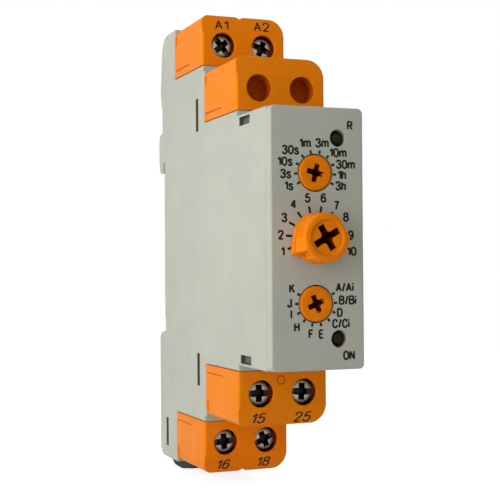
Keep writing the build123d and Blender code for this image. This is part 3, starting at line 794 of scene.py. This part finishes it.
def addControl(node, spec):
    low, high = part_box(node)
    centreX, centreZ = dialX, 0.0 if node == "time_knob" else (low[2] + high[2]) / 2
    cutters = []
    for half, turn in spec["arms"]:
        near = bar(half, spec["half"], turn)
        far = bar(half * spec["end"], spec["half"] * driver["narrow"], turn)
        cutters.append(frustum("arm", near, far, driver["above"], spec["deep"]))
    mouth, end = circle(spec["core"]), circle(spec["core"] * driver["coreNarrow"])
    cutters.append(frustum("middle", mouth, end, driver["above"], spec["deep"] + driver["coreDeeper"]))
    for cutter in cutters:
        toPlace(cutter, centreX, low[1], centreZ)
    if "grip" in spec:
        shape = knobMesh({**spec, "length": (high[1] - low[1]) / mm})
        toPlace(shape, centreX, low[1], centreZ)
    else:
        shape = roundEdges(nodes[node].data.copy(), spec["edge"] * mm)
    mesh = smoothShade(cutAway(shape, cutters), 32)
    reach = max(half for half, turn in spec["arms"]) * mm

    # faces deep in the driver recess get the painted shade
    def choose(spot):
        deep = spot.y - low[1] - spec["recess"] * mm
        if not driver["paintFrom"] * mm < deep < (spec["deep"] + driver["paintPast"]) * mm:
            return 0
        return int(math.hypot(spot.x - centreX, spot.z - centreZ) < reach)

    paintFaces(mesh, (finishes["cap_orange"], paintedShadeRecess), choose)
    piece = keepMesh(node + "_moulding", mesh, spec["body"])
    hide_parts(node)


for node, spec in controls.items():
    addControl(node, spec)
print("knob and dials made")

# printed scales on the front panel
panelPrint = {"height": 1.66, "narrow": 1.07, "pen": 0.26, "gap": 0.0, "proud": 0.004}
rangeScale = {
    "name": "rangeScale", "z": dialZ, "from": -120, "step": 26.67, "inner": 3.3, "length": 0.62,
    "thick": 0.42,
    "words": [("1s", -4.87, -2.28), ("3s", -5.48, -0.27), ("10s", -5.55, 1.82), ("30s", -4.56, 3.79),
              ("1m", -1.82, 5.02), ("3m", 1.32, 5.12), ("10m", 4.33, 3.54), ("30m", 5.72, 1.57),
              ("1h", 5.05, -0.25), ("3h", 4.77, -2.15)],
}
timeScale = {
    "name": "timeScale", "z": 0.0, "from": -109.5, "step": 24.2, "inner": 4.4, "length": 1.15, "thick": 0.42,
    "words": [("1", -6.07, -2.21), ("2", -6.45, 0.56), ("3", -5.79, 3.48), ("4", -4.16, 5.76),
              ("5", -1.45, 6.85), ("6", 1.5, 6.9), ("7", 4.06, 5.62), ("8", 5.73, 3.67), ("9", 6.64, 0.56),
              ("10", 6.81, -2.21)],
}
functionScale = {
    "name": "functionScale", "z": -dialZ, "from": 62, "step": 26.1, "inner": 3.3, "length": 0.62,
    "thick": 0.42,
    "words": [("A/Ai", 5.38, 2.79), ("B/Bi", 5.91, 0.57), ("D", 4.41, -1.53), ("C/Ci", 4.6, -3.42),
              ("E", 0.8, -5.13), ("F", -1.11, -5.08), ("H", -3.63, -3.88), ("I", -4.62, -1.67),
              ("J", -4.92, 0.25), ("K", -4.46, 2.67)],
}
lampWords = {"name": "lampWords", "z": 0.0, "words": [("R", 6.6, 19.45), ("ON", 6.1, -20.05)]}


def tickTree():
    # marks set round a centre on the front face, the first at the start angle, clockwise from upright
    group = bpy.data.node_groups.new("tickRing", "GeometryNodeTree")
    group.interface.new_socket("Geometry", in_out="OUTPUT", socket_type="NodeSocketGeometry")
    sockets = {}
    kinds = {"Count": "Int", "Radius": "Float", "Start": "Float", "Step": "Float", "Length": "Float",
             "Thick": "Float", "Rise": "Float", "Centre": "Vector", "Ink": "Material"}
    for label, kind in kinds.items():
        socket = group.interface.new_socket(label, in_out="INPUT", socket_type="NodeSocket" + kind)
        sockets[label] = socket.identifier
    add, link = group.nodes.new, group.links.new
    given = add("NodeGroupInput")
    row = add("GeometryNodeMeshLine")
    link(given.outputs["Count"], row.inputs["Count"])
    angle = add("ShaderNodeMath")
    angle.operation = "MULTIPLY_ADD"
    link(add("GeometryNodeInputIndex").outputs[0], angle.inputs[0])
    link(given.outputs["Step"], angle.inputs[1])
    link(given.outputs["Start"], angle.inputs[2])
    spot = add("ShaderNodeCombineXYZ")
    for operation, axis in (("SINE", "X"), ("COSINE", "Z")):
        wave = add("ShaderNodeMath")
        wave.operation = operation
        link(angle.outputs[0], wave.inputs[0])
        reach = add("ShaderNodeMath")
        reach.operation = "MULTIPLY"
        link(wave.outputs[0], reach.inputs[0])
        link(given.outputs["Radius"], reach.inputs[1])
        link(reach.outputs[0], spot.inputs[axis])
    placed = add("ShaderNodeVectorMath")
    link(spot.outputs[0], placed.inputs[0])
    link(given.outputs["Centre"], placed.inputs[1])
    moved = add("GeometryNodeSetPosition")
    link(row.outputs["Mesh"], moved.inputs["Geometry"])
    link(placed.outputs["Vector"], moved.inputs["Position"])
    size = add("ShaderNodeCombineXYZ")
    for label, axis in (("Thick", "X"), ("Rise", "Y"), ("Length", "Z")):
        link(given.outputs[label], size.inputs[axis])
    mark = add("GeometryNodeMeshCube")
    link(size.outputs[0], mark.inputs["Size"])
    turn = add("ShaderNodeCombineXYZ")
    link(angle.outputs[0], turn.inputs["Y"])
    spread = add("GeometryNodeInstanceOnPoints")
    link(moved.outputs[0], spread.inputs["Points"])
    link(mark.outputs["Mesh"], spread.inputs["Instance"])
    link(turn.outputs[0], spread.inputs["Rotation"])
    real = add("GeometryNodeRealizeInstances")
    link(spread.outputs[0], real.inputs[0])
    painted = add("GeometryNodeSetMaterial")
    link(real.outputs[0], painted.inputs["Geometry"])
    link(given.outputs["Ink"], painted.inputs["Material"])
    link(painted.outputs[0], add("NodeGroupOutput").inputs[0])
    return group, sockets


tickGroup, tickSockets = tickTree()


def tickMesh(scale):
    holder = bpy.data.objects.new("ticks", bpy.data.meshes.new("ticks"))
    bpy.context.scene.collection.objects.link(holder)
    modifier = holder.modifiers.new("ticks", "NODES")
    modifier.node_group = tickGroup
    values = {
        "Count": 10, "Radius": (scale["inner"] + scale["length"] / 2) * mm,
        "Start": math.radians(scale["from"]), "Step": math.radians(scale["step"]),
        "Length": scale["length"] * mm, "Thick": scale["thick"] * mm, "Rise": 2 * panelPrint["proud"] * mm,
        "Centre": (dialX, faceY, scale["z"]), "Ink": inkDark,
    }
    for label, value in values.items():
        modifier[tickSockets[label]] = value
    return finishedMesh(holder)


def printScale(scale):
    made = []
    for words, x, z in scale["words"]:
        made.append(onFront(textMesh(words, panelPrint), dialX + x * mm, faceY, scale["z"] + z * mm))
    if "from" in scale:
        made.append(tickMesh(scale))
    keepMesh(scale["name"], joinMeshes(scale["name"], made), "housing", inkDark)


for scale in (rangeScale, timeScale, functionScale, lampWords):
    printScale(scale)
print("scales printed")

# terminal numbers on the leaning bands of the caps
capPrint = {"height": 1.95, "narrow": 1.32, "pen": 0.175, "gap": 0.1, "proud": 0.004}
capBend, capLean, capEdge = 6.6, 0.45, 10.1     # where the band starts, how far it leans, and its end
terminalNumbers = {
    "upper_rear": [("A1", -4.55, 43.11, 0), ("A2", 3.96, 43.3, 0)],
    "lower_front": [("15", -4.67, -32.19, 0.28), ("25", 3.85, -32.32, 0.28)],
    "lower_rear": [("16", -4.66, -43.4, 0.28), ("18", 3.85, -43.4, 0.28)],
}


def printCap(row, labels):
    low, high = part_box("terminal_cap_" + row)
    upper = low[2] > 0
    inner = low[2] if upper else high[2]
    lean = math.degrees(math.atan2(capLean, capEdge - capBend))
    made = []
    for words, x, z, slant in labels:
        past = abs(z * mm - inner) - capBend * mm
        y = low[1] + max(past, 0) * capLean / (capEdge - capBend)
        mesh = textMesh(words, {**capPrint, "slant": slant})
        made.append(onFront(mesh, x * mm, y, z * mm, -lean if upper else lean))
    keepMesh("numbers_" + row, joinMeshes("numbers_" + row, made), "housing", inkCap)


for row, labels in terminalNumbers.items():
    printCap(row, labels)
print("terminal numbers printed")

# small moulded marks on the lower caps
markPrint = {"height": 1.7, "narrow": 1.0, "pen": 0.15, "gap": 0, "proud": 0.004}
marks = {"ring_mark": ("o", markPrint, "lower_front", -0.42, -25.41),
         "dot_mark": (".", {**markPrint, "height": 0.5, "pen": 0.7}, "lower_rear", -0.91, -36.7)}
for name, (words, spec, row, x, z) in marks.items():
    low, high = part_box("terminal_cap_" + row)
    mesh = onFront(textMesh(words, spec), x * mm, low[1], z * mm)
    keepMesh(name, mesh, "housing", markRed)
print("marks made")

# spring of the rail latch, closed at both ends
spring = {"y": 0.85, "bottom": -34.6, "top": -24.1, "coil": 1.3, "wire": 0.22, "turns": 8, "closed": 1.0,
          "perTurn": 24, "touch": 1.02}


def springMesh(spec):
    curve = bpy.data.curves.new("spring", "CURVE")
    curve.dimensions = "3D"
    curve.bevel_depth = spec["wire"] * mm
    curve.bevel_resolution = 2
    curve.use_fill_caps = True
    perTurn = spec["perTurn"]
    steps = round(spec["turns"] * perTurn)
    ends = spec["closed"] * perTurn
    low, high = spec["bottom"] + spec["wire"], spec["top"] - spec["wire"]
    flat = 2 * spec["wire"] / perTurn * spec["touch"]     # rise of a step where the turns lie together
    rise = (high - low - 2 * flat * ends) / (steps - 2 * ends)
    spline = curve.splines.new("POLY")
    spline.points.add(steps)
    height = low
    for step, point in enumerate(spline.points):
        angle = 2 * math.pi * step / perTurn
        point.co = (spec["coil"] * math.cos(angle) * mm, (spec["y"] + spec["coil"] * math.sin(angle)) * mm,
                    height * mm, 1)
        height += flat if step < ends or step >= steps - ends else rise
    holder = bpy.data.objects.new("spring", curve)
    bpy.context.scene.collection.objects.link(holder)
    return smoothShade(finishedMesh(holder), 50)


coil = keepMesh("spring_coil", springMesh(spring), "housing", finishes["spring_steel"])
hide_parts("latch_spring")
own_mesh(coil)
print("spring made")
